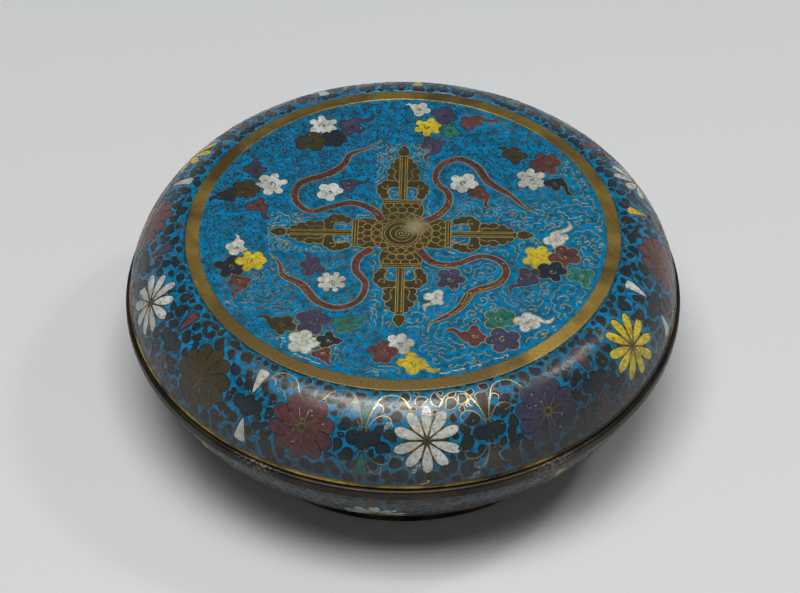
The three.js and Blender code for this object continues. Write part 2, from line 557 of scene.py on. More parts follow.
def wire_tree():
    """Sweeps a round section along the edges, presses it flat along the surface's normal, adds beads."""
    tree = bpy.data.node_groups.new("wire along edges", "GeometryNodeTree")
    for name, kind in (
        ("Geometry", "NodeSocketGeometry"),
        ("Half width", "NodeSocketFloat"),
        ("Flatness", "NodeSocketFloat"),
        ("Sides", "NodeSocketInt"),
        ("Bead radius", "NodeSocketFloat"),
        ("Material", "NodeSocketMaterial"),
    ):
        tree.interface.new_socket(name, in_out="INPUT", socket_type=kind)
    tree.interface.new_socket("Geometry", in_out="OUTPUT", socket_type="NodeSocketGeometry")
    given = add(tree, "NodeGroupInput").outputs
    here = add(tree, "GeometryNodeInputPosition").outputs[0]
    vector = {"data_type": "FLOAT_VECTOR"}
    kept = {"Geometry": given["Geometry"], "Name": "spine", "Value": here}
    spined = add(tree, "GeometryNodeStoreNamedAttribute", kept, **vector)
    path = add(tree, "GeometryNodeMeshToCurve", {"Mesh": spined.outputs[0]})
    ring = {"Resolution": given["Sides"], "Radius": given["Half width"]}
    section = add(tree, "GeometryNodeCurvePrimitiveCircle", ring)
    sweep = {"Curve": path.outputs[0], "Profile Curve": section.outputs[0], "Fill Caps": True}
    wire = add(tree, "GeometryNodeCurveToMesh", sweep)
    spine = add(tree, "GeometryNodeInputNamedAttribute", {"Name": "spine"}, **vector).outputs[0]
    lean = add(tree, "GeometryNodeInputNamedAttribute", {"Name": "lean"}, **vector).outputs[0]
    out = add(tree, "ShaderNodeVectorMath", {0: here, 1: spine}, operation="SUBTRACT")
    rise = add(tree, "ShaderNodeVectorMath", {0: out.outputs[0], 1: lean}, operation="DOT_PRODUCT")
    press = maths(tree, "SUBTRACT", given["Flatness"], 1.0)
    amount = maths(tree, "MULTIPLY", press, rise.outputs["Value"])
    shift = add(tree, "ShaderNodeVectorMath", {0: lean, "Scale": amount}, operation="SCALE")
    flat = add(tree, "GeometryNodeSetPosition", {"Geometry": wire.outputs[0], "Offset": shift.outputs[0]})
    bead = add(tree, "GeometryNodeMeshIcoSphere", {"Radius": given["Bead radius"], "Subdivisions": 2})
    curl_end = add(tree, "GeometryNodeInputNamedAttribute", {"Name": "curl_end"}, data_type="BOOLEAN")
    put = {"Points": given["Geometry"], "Selection": curl_end.outputs[0], "Instance": bead.outputs[0]}
    beads = add(tree, "GeometryNodeInstanceOnPoints", put)
    both = add(tree, "GeometryNodeJoinGeometry")
    tree.links.new(beads.outputs[0], both.inputs[0])
    tree.links.new(flat.outputs[0], both.inputs[0])
    real = add(tree, "GeometryNodeRealizeInstances", {"Geometry": both.outputs[0]})
    coat = {"Geometry": real.outputs[0], "Material": given["Material"]}
    finish = add(tree, "GeometryNodeSetMaterial", coat)
    add(tree, "NodeGroupOutput", {"Geometry": finish.outputs[0]})
    return tree


WIRE_TREE = wire_tree()
# The field's wires, brighter towards the front right: partly wear, partly painted light.
wire_gilding = old_gilding(
    "old gilding, wires", gold="D2B660", tarnish="54452F", patch_mm=22, roughness=0.43, rubbed=0.8
)
scroll_gilding = old_gilding(
    "old gilding, scroll wires", gold="C6B07A", tarnish="5A4D39", patch_mm=22, roughness=0.34
)


def wires_piece(name, design, plan, edges, place, gold, material, open_gold=0.0, sides=4):
    """One mesh of all a design's wires: those between its cells and the open ones. `gold` says how much
    more gilding shows at points of the plan, from wear and, on the lid, from painted light and shade, and
    `open_gold` how much more again on the open ones."""
    used = sorted({i for edge in edges for i in edge})
    number = {old: new for new, old in enumerate(used)}
    points = [plan[used]]
    pairs = [(number[a], number[b]) for a, b in edges]
    ends = []
    count = len(used)
    for path in design.wires:
        points.append(path)
        pairs += [(count + i, count + i + 1) for i in range(len(path) - 1)]
        ends.append(count)
        count += len(path)
    flags = np.zeros(count, bool)
    flags[ends] = True
    points = np.concatenate(points)
    spots, leans = place(points, np.where(flags, BEAD_LIFT, WIRE_LIFT))
    net = bpy.data.meshes.new(name + "_net")
    net.from_pydata((spots * MM).tolist(), pairs, [])
    net.attributes.new("curl_end", "BOOLEAN", "POINT").data.foreach_set("value", flags)
    net.attributes.new("lean", "FLOAT_VECTOR", "POINT").data.foreach_set("vector", leans.ravel())
    shares = gold(points)
    shares[len(used) :] += open_gold
    net.attributes.new("gold", "FLOAT", "POINT").data.foreach_set("value", shares)
    source = new_object(name + "_net", net)
    nodes = source.modifiers.new("wire along edges", "NODES")
    nodes.node_group = WIRE_TREE
    settings = {
        "Half width": WIRE_HALF * MM,
        "Flatness": WIRE_FLATNESS,
        "Sides": sides,
        "Bead radius": BEAD_R * MM,
        "Material": material,
    }
    for item in WIRE_TREE.interface.items_tree:
        if item.in_out == "INPUT" and item.name in settings:
            nodes[item.identifier] = settings[item.name]
    bpy.context.view_layer.update()
    evaluated = source.evaluated_get(bpy.context.evaluated_depsgraph_get())
    mesh = bpy.data.meshes.new_from_object(evaluated)
    mesh.name = name
    leans = np.zeros(len(mesh.vertices) * 3)
    mesh.attributes["lean"].data.foreach_get("vector", leans)
    leans = leans.reshape(-1, 3)
    own = np.zeros(len(mesh.vertices) * 3)
    mesh.vertices.foreach_get("normal", own)
    on_bead = np.linalg.norm(leans, axis=1) < 0.5
    leans[on_bead] = own.reshape(-1, 3)[on_bead]
    mesh.polygons.foreach_set("use_smooth", [True] * len(mesh.polygons))
    mesh.normals_split_custom_set_from_vertices(leans.tolist())
    mesh.attributes.remove(mesh.attributes["lean"])
    mesh.attributes.remove(mesh.attributes["spine"])
    made = new_object(name, mesh)
    bpy.data.objects.remove(source)
    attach(made, "root")


# The scroll: round each wall runs a row of large ten-petalled flowers, with a bud above and below between
# every two. Stems and curls spring from each pair of buds, and dark leaves and tendrils fill the ground.
FLOWERS = 14
PETALS = 10
PETAL_FOOT = 0.85
BUD = (-1.6 + 10.2j, 1.6 + 10.2j, 1.3 + 7.4j, 0.3 + 3.6j, -0.3 + 3.6j, -1.3 + 7.4j)
# Wires on one side of a bud, from the pair's middle: the sepals, the long stem and a curl by the flower.
SCROLL_LINES = (
    (0.4 + 3j, 1.0 + 5.6j, 2.3 + 8.4j, 3.6 + 9.4j, 4.9 + 8.6j, 4.7 + 7.4j),
    (0.7 + 2.4j, 2.4 + 5.2j, 4.6 + 6.4j, 6.8 + 5.8j, 7.2 + 4.4j, 6.2 + 3.8j),
    (2.2 + 8.3j, 4.2 + 11.4j, 7.6 + 12.2j, 10.4 + 11.2j, 12.6 + 8.4j),
)
# A leaf's length, and how many places are tried for one.
LEAF_SIZES = ((5.0, 500), (4.3, 1500), (3.6, 3500), (3.0, 5000), (2.4, 5000), (1.9, 6000))
LEAF_GAP = 0.26
LEAF_BEND = 0.9  # how far a leaf curls, in radians, from tip to head
TENDRILS = ((0.6, 1.7, 3000), (0.45, 1.3, 5000))  # gap kept, scallop, and places tried
TENDRIL_POINTS = 10  # a stroke with no more points than this is left out


def smooth(points, closed=False):
    """A curve through points of the plan, with a point every LINE_STEP."""
    p = np.asarray(points, complex)
    if closed:
        p = np.concatenate([p[-1:], p, p[:2]])
    else:
        p = np.concatenate([[2 * p[0] - p[1]], p, [2 * p[-1] - p[-2]]])
    out = []
    for a, b, c, d in zip(p, p[1:], p[2:], p[3:]):
        count = max(1, round(abs(c - b) / LINE_STEP))
        for t in np.arange(count) / count:
            slope, bend, twist = c - a, 2 * a - 5 * b + 4 * c - d, 3 * b - a - 3 * c + d
            out.append(b + 0.5 * (slope * t + bend * t**2 + twist * t**3))
    return np.array(out if closed else out + [p[-2]])


def drop(length, width, sharpness):
    """A drop with its point at 0 and its round end at `length` along +X."""
    turn = np.linspace(0, 2 * math.pi, max(12, round(2.4 * length / LINE_STEP)), endpoint=False)
    return length * (1 - np.cos(turn)) / 2 + 1j * width * np.sin(turn) * np.sin(turn / 2) ** sharpness


def flower(design, spot, colour, radius):
    """Ten petals round a small eye. The pale ones stand apart on a brown ground, the dark ones touch."""
    design.hearts.append(spot(0))
    parted = colour in ("white", "yellow")
    if parted:
        design.cell(spot(circle(0, 0.62 * radius)), "tobacco")
    for k in range(PETALS):
        length = (radius - PETAL_FOOT) * (0.97 + 0.08 * rng.random())
        shape = PETAL_FOOT + drop(length, 1.95 if parted else 2.9, 1.1 if parted else 0.9)
        way = 2 * math.pi * (k + 0.12 * rng.random()) / PETALS
        design.cell(spot(shape * 1j * np.exp(1j * way)), colour)
    design.cell(spot(circle(0, PETAL_FOOT)), "tobacco")


def scroll_unit(design, spot, mid, bud):
    """The bud pair half-way between two flowers, with its sepals and stems. `spot` puts local millimetres,
    x round the wall and y towards the rim, on the plan. `mid` is the way from the flower to the buds."""
    for side_y in (-1, 1):
        wedge = smooth(BUD, closed=True)
        design.cell(spot(mid + wedge.real + 1j * wedge.imag * side_y), bud)
        for side_x in (-1, 1):
            for path in SCROLL_LINES[: 2 if side_y > 0 else 3]:
                path = smooth(path)
                design.wire(spot(mid + path.real * side_x + 1j * path.imag * side_y))
    heart = design.group()
    for x, y, r in ((-2.6, -0.2, 1.95), (2.5, -0.4, 1.9), (0, 0.7, 2.1), (0.2, -1.6, 1.4)):
        design.cell(spot(mid + x + 1j * y + circle(0, r)), "lapis", heart)


def flower_angle(k, first):
    """Flowers: even spacing that drifts by a few degrees round the wall."""
    return first + 360 * k / FLOWERS + 2.8 + 3.3 * math.sin(2 * math.pi * (k - 1.3) / FLOWERS)


def scroll(design, inner, outer, along, wall_r, first, flowers, buds, petal_r):
    """The whole scroll between two radii of the plan: its flowers and buds, then leaves and tendrils
    wherever one fits. The row of flowers lies `along` from `inner` and starts `first` degrees round, and
    `wall_r` is the wall's radius there."""
    for k in range(FLOWERS):
        here = math.radians(flower_angle(k, first))
        gap = math.radians(flower_angle(k + 1, first)) - here

        def spot(local, here=here):
            local = np.asarray(local)
            return (inner + along + local.imag) * np.exp(1j * (here + local.real / wall_r))

        scroll_unit(design, spot, gap * wall_r / 2, buds[k])
        flower(design, spot, flowers[k], petal_r)
    ground = Ground(inner, outer)
    for outline, _, _ in design.cells:
        ground.fill(outline, (0.75, 0.5, 0.25, 0.0))
    for path in design.wires:
        ground.take(path[::2])
    for length, tries in LEAF_SIZES:
        for _ in range(tries):
            place = ground.anywhere()
            shape = drop(length, length * (0.38 + 0.1 * rng.random()), 0.85) - length / 2
            shape = shape * np.exp(1j * LEAF_BEND / length * shape.real)
            shape = place + shape * np.exp(2j * math.pi * rng.random()) * place / wall_r
            if all(ground.clear(p, LEAF_GAP) for p in (place, *shape[::2], *(shape[::3] + place) / 2)):
                design.cell(shape, "lapis" if rng.random() < 0.62 else "pine")
                ground.take(shape)
                ground.take((shape + place) / 2)
    for gap, chord, tries in TENDRILS:
        for _ in range(tries):
            place = ground.anywhere()
            stroke = wander(ground, place, chord, gap) if ground.clear(place, 1.4 * gap) else ()
            if len(stroke) > TENDRIL_POINTS:
                design.wire(stroke)
                ground.take(stroke)


BASE_FLOWERS = (
    "white aubergine oxblood yellow white tobacco malachite"
    " oxblood white yellow aubergine oxblood white tobacco"
).split()
BASE_BUDS = (
    "oxblood yellow white malachite oxblood yellow white"
    " tobacco yellow oxblood white malachite yellow aubergine"
).split()
bowl = curved_wall((BOWL_FOOT_R, BASE_BOTTOM), (MOUTH_R, BASE_EDGE), BOWL_FULLNESS, 40)[::-1]
place_on_base, base_end = unrolled(bowl, MOUTH_R)
base_design = Design()
row = {"along": 14.5, "wall_r": 68, "first": -97, "petal_r": 8.6}
scroll(base_design, MOUTH_R, base_end, flowers=BASE_FLOWERS, buds=BASE_BUDS, **row)
plan, triangles, shades, edges = base_design.cut(MOUTH_R, base_end, grain=2.0)
points, normals = place_on_base(plan)
floor = BASE_BOTTOM + WALL
inside = curved_wall((BOWL_FOOT_R - WALL / 2, floor), (MOUTH_R - WALL, BASE_EDGE), BOWL_FULLNESS, 12)
plain = ENAMEL_NAMES.index("turquoise")
underside = [(BOWL_FOOT_R, BASE_BOTTOM), (BOWL_FOOT_R - 1, BASE_BOTTOM), (AXIS_R, BASE_BOTTOM)]
base_body = shell(
    "base_enamel",
    [
        (points, triangles, normals, shades),
        lathe_part(underside, plain),
        lathe_part([(AXIS_R, floor), (40, floor), *inside, (MOUTH_R, BASE_EDGE)], plain),
    ],
    list(ENAMELS.values()),
)
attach(base_body, "root")
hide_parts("base_body")


BASE_DARKENING = -0.35


def base_gold(points):
    """The base's wires are made nearly black all over."""
    return np.full(len(points), BASE_DARKENING)


wires_piece("base_wires", base_design, plan, edges, place_on_base, base_gold, scroll_gilding, sides=3)


# ---- Base rim -----------------------------------------------------------------------------------------
# A gilt copper band soldered round the mouth. It carries the seat and the upright lip that locate the lid,
# and stands a little proud. Rubbed dark brown.
SEAT = size("lid_rim", 0, 2)
RIM_R = size("base_rim", 1, 0)
LIP_TOP = size("base_rim", 1, 2)
LIP_PLAY = 0.6
LIP_THICK = 1.2
SEAT_WIDTH = 1.8
JOINT_GAP = 0.3
lip_outer = MOUTH_R - WALL - LIP_PLAY
RIM_CHIPS = (((-39, -66, 35.5), 11), ((39, -65, 35.5), 8))  # knocks at the front left and front right
rim_gilding = old_gilding("old gilding, rims", gold="403B34", tarnish="292724", patch_mm=11, chips=RIM_CHIPS)
base_rim = turned(
    "base_rim_gilt",
    [
        (lip_outer - LIP_THICK, LIP_TOP, 0.3),
        (lip_outer, LIP_TOP, 0.3),
        (lip_outer, SEAT, 0),
        (lip_outer + SEAT_WIDTH, SEAT, 0),
        (lip_outer + SEAT_WIDTH, SEAT - JOINT_GAP, 0),
        (RIM_R, SEAT - JOINT_GAP, 0.8),
        (RIM_R, BASE_EDGE, 0.8),
        (lip_outer - LIP_THICK, BASE_EDGE, 0),
    ],
    rim_gilding,
)
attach(base_rim, "root")
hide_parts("base_rim")


# ---- Lid rim ------------------------------------------------------------------------------------------
# A thin gilt band that closes the lid's lower edge. Its gold is brighter than the base's, because it is
# the edge that fingers rub when the lid is lifted.
LID_EDGE = size("lid_rim", 1, 2)
LID_RIM_R = size("lid_rim", 1, 0)
EDGE_BARE = (61, -45, 38), 32  # the gold has gone from the edge at the front right
bright_gilding = old_gilding(
    "old gilding, edge", gold="D6B052", tarnish="4A4030", patch_mm=14, roughness=0.4, bare=EDGE_BARE
)
BEAD_RISE = 0.8  # how far the band's round upper edge laps up over the enamel
lid_rim = turned(
    "lid_rim_gilt",
    [
        (MOUTH_R - WALL, LID_EDGE, 0),
        (LID_RIM_R - 1, LID_EDGE + BEAD_RISE, 0),
        (LID_RIM_R, LID_EDGE + BEAD_RISE / 4, 0.6),
        (LID_RIM_R, SEAT, 0.3),
        (MOUTH_R - WALL, SEAT, 0),
    ],
    bright_gilding,
)
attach(lid_rim, "root")
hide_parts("lid_rim")


# ---- Lid ----------------------------------------------------------------------------------------------
# Raised copper like the base, enamelled on its rounded shoulder with the flower scroll and on its flat
# field with a crossed thunderbolt among ribbons and coloured clouds. The turquoise ground is held by
# fine wire clouds. Counter-enamelled inside.
LID_TOP = size("lid_body", 1, 2)
FIELD_R = size("lid_ring", 1, 0)
RING_WIDTH = 3.9
RING_FALL = 0.4
RING_SEAT_DEPTH = 1.2
SHOULDER_FULLNESS = 1.83
RING_LAP = 0.3  # how far the enamel runs in under the gilt ring's edges
ring_inner = FIELD_R - RING_WIDTH
shoulder = curved_wall((FIELD_R, LID_TOP - RING_FALL), (MOUTH_R, LID_EDGE), SHOULDER_FULLNESS, 40)
lid_profile = [(0, LID_TOP), (ring_inner - 2, LID_TOP), (ring_inner, LID_TOP), *shoulder]
place_on_lid, lid_end = unrolled(lid_profile, 0)
shoulder_start = lid_end - sum(math.dist(a, b) for a, b in zip(shoulder, shoulder[1:]))

SHOULDER_FLOWERS = (
    "white aubergine yellow oxblood white tobacco malachite"
    " aubergine tobacco yellow oxblood white tobacco oxblood"
).split()
SHOULDER_BUDS = (
    "tobacco oxblood white yellow oxblood malachite yellow"
    " white tobacco white aubergine oxblood white malachite"
).split()
shoulder_design = Design()
row = {"along": 13.6, "wall_r": 70.4, "first": -86, "petal_r": 8.9}
scroll(shoulder_design, shoulder_start, lid_end, flowers=SHOULDER_FLOWERS, buds=SHOULDER_BUDS, **row)

# The crossed thunderbolt: four equal arms round a jewelled hub, each with a crossbar, a shaft, two curled
# prongs with scalloped backs, and a knob at the tip.
field = Design()
VAJRA_CENTRE = -0.4 - 0.2j
VAJRA_TURN = math.radians(-1.2)
# One side of an arm, as discs (along, across, radius): a prong curling back to its round head, then a
# scalloped blade.
PRONG = ((14.9, 5.0, 1.3), (16.6, 5.7, 1.5), (18.3, 5.6, 1.75), (19.6, 4.4, 1.75), (19.5, 2.6, 1.7))
BLADE = ((22.4, 3.2, 1.35), (24.9, 3.3, 1.45), (27.3, 2.6, 1.35), (29.3, 1.5, 1.2))
# The patch of ground that shows between a prong and the shaft.
WINDOW = (13.4 + 1.0j, 13.4 + 2.6j, 14.6 + 3.5j, 17 + 3.9j, 18.3 + 3.2j, 18.4 + 1.6j, 17.6 + 1.0j)
KNOB = (31.2, 31.7 + 1.3j, 33.1 + 1.7j, 34.5 + 1.2j, 35.9, 34.5 - 1.2j, 33.1 - 1.7j, 31.7 - 1.3j)
NECK = (6 - 4.4j, 12 - 4.9j, 12 + 4.9j, 6 + 4.4j)
SHAFT = (13.1, 31.2, 1.05)  # where it starts and ends along the arm, and its half width
CROSSBAR = (11.9, 13.3, 5.4)


def along_arm(quarter):
    """Puts a shape drawn along +X on one of the four arms."""
    turn = np.exp(1j * (VAJRA_TURN + quarter * math.pi / 2))
    return lambda shape: VAJRA_CENTRE + np.asarray(shape) * turn


def box_outline(u0, u1, half):
    """A straight bar from u0 to u1 along an arm."""
    across = np.arange(-half, half + LINE_STEP / 2, LINE_STEP)
    along = np.arange(u0, u1, LINE_STEP)
    return np.concatenate([along - 1j * half, u1 + 1j * across, along[::-1] + 1j * half, u0 - 1j * across])


for quarter in range(4):
    arm = along_arm(quarter)
    for side in (1, -1):
        blade = field.group()
        for u, v, r in BLADE:
            field.cell(arm(circle(u + 1j * side * v, r)), "tobacco", blade)
        spine = [20 + 0.5j * side, 22 + 3.4j * side, 26 + 3j * side, 30.4 + 0.6j * side]
        field.cell(arm(smooth(spine, True)), "tobacco", blade)
        prong = field.group()
        for u, v, r in PRONG:
            field.cell(arm(circle(u + 1j * side * v, r)), "tobacco", prong)
        window = smooth(WINDOW, True)
        field.cell(arm(window if side > 0 else window.conj()), "turquoise", 0)
        field.wire(arm(smooth([21 + 1.3j * side, 22.6 + 2.6j * side, 25 + 2.2j * side, 26.4 + 3.2j * side])))
        field.wire(arm(18.6 + 4.9j * side + 0.8 * np.exp(1j * side * np.linspace(5.4, 1.2, 7))))
    field.cell(arm(box_outline(*SHAFT)), "tobacco")
    for side in (1, -1):
        field.wire(arm(np.arange(13.6, 30.6, LINE_STEP) + 0.5j * side))
    for shape in (KNOB, NECK):
        field.cell(arm(smooth(shape, True)), "tobacco")
    for u, count in ((11.0, 4), (9.3, 3)):
        for k in range(count):
            field.cell(arm(circle(u + 2.4j * (k - (count - 1) / 2), 1.25)), "tobacco")
    field.cell(arm(box_outline(*CROSSBAR)), "tobacco")
    field.wire(arm(12.6 + 1j * np.arange(-5.0, 5.1, LINE_STEP)))

hub = along_arm(0)
field.cell(hub(circle(0, 8.3)), "tobacco")
BEADS = 16
for k in range(BEADS):
    field.cell(hub(circle(6.8 * np.exp(2j * math.pi * k / BEADS), 1.15)), "tobacco")
for radius in (5.3, 4.6, 3.1):
    field.cell(hub(circle(0, radius)), "tobacco")
spiral = np.linspace(0, 1, 26)
field.wire(hub((0.25 + 2.0 * spiral) * np.exp(1j * (2.2 * 2 * math.pi * spiral))))

# Ribbons tied to the hub, one in each quarter, folding over themselves on the way out.
RIBBON_HALF = 1.15
RIBBONS = (
    (-5.6 + 4.8j, -8.5 + 9.3j, -14 + 12j, -20 + 10.2j, -25.5 + 8.6j, -29.6 + 13.3j,
     -28.4 + 19.8j, -20.5 + 23.8j, -16.6 + 27.5j, -14.6 + 32j, -9.5 + 34.6j, -6 + 37.7j),
    (5 + 4.3j, 9 + 6.5j, 12.2 + 11j, 12.3 + 16j, 9.2 + 20.5j, 10 + 26.5j, 15.5 + 30j, 20.5 + 26.5j,
     23.5 + 20.5j, 29.5 + 15j, 33 + 10.5j, 37 + 7.2j),
    (4.2 - 6.6j, 8 - 11.6j, 14 - 12.3j, 20.6 - 9.2j, 25.6 - 10.8j, 27.6 - 15j, 25.2 - 19.8j, 18.5 - 23j,
     15.2 - 28.5j, 11.5 - 32j, 7.4 - 34.6j, 6.5 - 38j),
    (-8.4 - 6.2j, -12 - 9.6j, -12.7 - 14.6j, -10 - 19.8j, -11.8 - 26j, -17 - 28.9j,
     -22.6 - 26.6j, -27 - 20.2j, -32 - 16.6j, -33.2 - 12j, -36 - 8j),
)
ribbon_ground = Ground(-1, ring_inner)
for points_along in RIBBONS:
    route = smooth(points_along)
    ahead = np.gradient(route)
    across = 1j * ahead / np.abs(ahead)
    way = np.linspace(0, 1, len(route))
    half = RIBBON_HALF * np.clip(1.25 * (1 - way**5), 0.12, 1) * (0.88 + 0.12 * np.cos(9 * way))
    ribbon = np.concatenate([route + across * half, (route - across * half)[::-1]])
    field.cell(ribbon, "oxblood")
    ribbon_ground.take(ribbon)
    fold = slice(int(0.52 * len(route)), int(0.86 * len(route)))
    field.wire((route + across * half * np.cos(9 * way) * 0.5)[fold])

# Coloured clouds, in knots of three to six: place, radius, lobes, enamel and, where it has one, the end of
# its tail.
CLOUDS = (
    (-22.5 + 44j, 3.6, 6, "white"), (-14.5 + 43.5j, 3.2, 4, "aubergine", -8.5 + 49j),
    (-19.5 + 38.5j, 3.0, 5, "lapis"), (-26 + 37j, 3.6, 5, "tobacco"),
    (4.8 + 51j, 2.6, 4, "white", 0.5 + 53j), (7 + 43.5j, 3.4, 6, "yellow"),
    (11.6 + 48.5j, 3.2, 4, "aubergine"), (13.2 + 41.8j, 2.7, 4, "malachite"),
    (19 + 45.3j, 2.7, 5, "oxblood", 27 + 48j), (8.3 + 35.8j, 3.0, 4, "aubergine", 7 + 28.5j),
    (31 + 31.3j, 2.9, 4, "tobacco", 26.5 + 34.6j), (39.5 + 28j, 3.7, 6, "oxblood"),
    (35.3 + 21.6j, 3.7, 6, "white"), (41.8 + 20j, 2.5, 3, "lapis", 48 + 15.3j),
    (16.8 + 20.2j, 3.5, 5, "white"), (20.8 + 16j, 2.4, 3, "oxblood", 24.8 + 9.6j),
    (41.5 - 3j, 3.0, 4, "white", 45 + 4.5j), (36.3 - 9.5j, 3.7, 6, "yellow"),
    (43.4 - 9.4j, 3.7, 5, "oxblood"), (39.8 - 15j, 3.4, 5, "lapis"),
    (33.3 - 17j, 3.1, 4, "aubergine", 28.6 - 23.5j), (47.5 - 16.8j, 3.1, 4, "malachite", 49.7 - 21.5j),
    (12.5 - 18j, 3.5, 5, "aubergine"), (8.6 - 25j, 2.6, 3, "white", 5.8 - 30j),
    (25.5 - 33.3j, 3.7, 6, "malachite"), (32.6 - 34.2j, 3.0, 4, "white", 39.8 - 32.6j),
    (18.6 - 39.3j, 3.2, 4, "oxblood", 10.8 - 38j), (26.2 - 40.8j, 3.9, 5, "aubergine"),
    (-1 - 42.3j, 3.3, 5, "white"), (-5.3 - 45.3j, 3.4, 5, "oxblood"),
    (2.4 - 49.4j, 3.3, 4, "yellow", 9.6 - 51.4j),
    (-31.5 - 35.3j, 3.1, 4, "tobacco", -38.6 - 32.4j), (-24 - 34.2j, 4.0, 5, "aubergine"),
    (-15 - 35j, 3.0, 4, "malachite", -9.8 - 31.2j), (-26.2 - 41.6j, 3.6, 5, "white"),
    (-19.5 - 41j, 2.7, 4, "lapis", -15.6 - 40.8j), (-21 - 46j, 2.4, 3, "oxblood", -18 - 50j),
    (-44.8 - 5.8j, 2.7, 4, "white", -45.6 - 0.5j), (-46.3 - 13.2j, 3.6, 5, "lapis"),
    (-40.8 - 11j, 3.5, 6, "yellow"), (-43.6 - 19j, 2.6, 4, "oxblood", -44.4 - 25.5j),
    (-24.3 - 13.2j, 3.1, 4, "aubergine", -26.8 - 7.6j), (-19 - 19j, 3.3, 8, "white"),
    (-41 + 25.3j, 2.7, 4, "aubergine", -42 + 31j), (-36.3 + 19.5j, 3.8, 6, "white"),
    (-43.3 + 17.6j, 3.3, 5, "tobacco"), (-48 + 15.3j, 2.5, 3, "lapis", -53 + 12.6j),
    (-40 + 11j, 2.6, 3, "oxblood", -35.8 + 5.4j),
    (-20.2 + 16.4j, 3.2, 5, "white"), (-15 + 19j, 2.3, 3, "aubergine", -9.5 + 22j),
)


def lobed(centre, radius, lobes, turn):
    """A cloud's body, as discs: rounded lobes round a middle, no two alike."""
    discs = [circle(centre, 0.78 * radius)]
    for k in range(lobes):
        way = turn + 2 * math.pi * (k + 0.42 * rng.random()) / lobes
        share = 0.78 + 0.36 * rng.random()
        lobe_r = radius * min(0.52, 2.5 / lobes) * share
        discs.append(circle(centre + (1.24 * radius - lobe_r) * np.exp(1j * way), lobe_r))
    return discs


def tail(start, end, width):
    """A cloud's tail: it leaves the body wide, bends and thins to its tip."""
    t = np.linspace(0, 1, max(6, round(abs(end - start) / LINE_STEP)))
    bend = 0.16j * (end - start) * np.sin(2 * math.pi * t)
    axis = start + (end - start) * t + bend
    side = 1j * (end - start) / abs(end - start) * width * (1 - 0.8 * t**0.7)
    return np.concatenate([axis + side, (axis - side)[::-1]])


for centre, radius, lobes, colour, *tail_ends in CLOUDS:
    own = field.group()
    turn = 2 * math.pi * rng.random()
    for end in tail_ends:
        field.cell(tail(centre, end, 0.62 * radius), colour, own)
    for disc in lobed(centre, radius, lobes, turn):
        field.cell(disc, colour, own)
    hand = 1 if rng.random() > 0.5 else -1
    curl = np.linspace(0.05, 1, 9)
    field.wire(centre + 0.36 * radius * curl * np.exp(1j * (turn + hand * 5.2 * curl)))

# Wire clouds that fill the ground, finer and closer together at the back left.
COMPACT = 12  # cells reaching no further than this from their middle are filled to it
CLOUD_WIRES = ((1.0, 2.7, 2500), (0.85, 2.0, 4000), (0.75, 1.4, 7000), (0.65, 1.1, 9000))  # as TENDRILS
CLOUD_POINTS = 9
DIAGONAL = 1.41 * ring_inner
ground = Ground(-1, ring_inner)
for outline, colour, _ in field.cells:
    if colour != "turquoise":
        compact = np.abs(outline - outline.mean()).max() < COMPACT
        ground.fill(outline, (0.8, 0.6, 0.4, 0.2, 0.0) if compact else ())
for gap, chord, tries in CLOUD_WIRES:
    for _ in range(tries):
        p = ring_inner * math.sqrt(rng.random()) * np.exp(2j * math.pi * rng.random())
        fineness = 0.9 + 0.26 * (p.real - p.imag) / DIAGONAL
        if not ground.clear(p, 1.5 * gap * fineness):
            continue
        stroke = wander(ground, p, chord * fineness, gap * fineness)
        if len(stroke) > CLOUD_POINTS:
            field.wire(stroke)
            ground.take(stroke)

field_r = ring_inner + RING_LAP
shoulder_r = shoulder_start - RING_LAP
field_plan, field_triangles, field_shades, field_edges = field.cut(0, field_r, grain=3.0)
band_plan, band_triangles, band_shades, band_edges = shoulder_design.cut(shoulder_r, lid_end, grain=1.8)
field_points, field_normals = place_on_lid(field_plan)
band_points, band_normals = place_on_lid(band_plan)


def border(radius):
    """The lid's surface at a radius of the plan, as a point of its section."""
    spot, _ = place_on_lid(np.array([complex(radius)]))
    return spot[0][0], spot[0][2]


step_floor = LID_TOP - RING_SEAT_DEPTH
inner_edge, outer_edge = border(field_r), border(shoulder_r)
inside = curved_wall((ring_inner, LID_TOP - WALL), (MOUTH_R - WALL, LID_EDGE), SHOULDER_FULLNESS, 12)
lid_body = shell(
    "lid_enamel",
    [
        (field_points, field_triangles, field_normals, field_shades),
        lathe_part([inner_edge, (inner_edge[0], step_floor), (outer_edge[0], step_floor), outer_edge], plain),
        (band_points, band_triangles, band_normals, band_shades),
        lathe_part([(MOUTH_R, LID_EDGE), *inside[::-1], (AXIS_R, LID_TOP - WALL)], plain),
    ],
    list(ENAMELS.values()),
)
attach(lid_body, "root")
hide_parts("lid_body")


HIGHLIGHT_WAY, HIGHLIGHT_REACH, HIGHLIGHT_FADE = 8, 8, 20  # the painted highlight's stretch on the shoulder's wires, in degrees round from the front
HEART_REACH = 5


def shoulder_gold_and_painted_light(points):
    """How bright the shoulder's wires are: a painted highlight makes them shine in a stretch at the front,
    and they shine in the flowers' hearts; painted shade dims them towards the rim and away from the
    highlight.
    """
    aside = np.abs(np.degrees(np.angle(points * 1j)) - HIGHLIGHT_WAY)
    # Painted shade: the wires darken beyond the highlight, and further down towards the rim.
    dirt = 0.012 * np.clip(aside - HIGHLIGHT_REACH, 0, HIGHLIGHT_FADE)
    left = -0.03 - 0.008 * (np.abs(points) - shoulder_start) - dirt
    near_heart = np.min([np.abs(points - heart) for heart in shoulder_design.hearts], axis=0) < HEART_REACH
    return np.where(near_heart, np.maximum(left, 0.02), left)


ARM_HALF, ARM_LENGTH = 7.6, 36.5


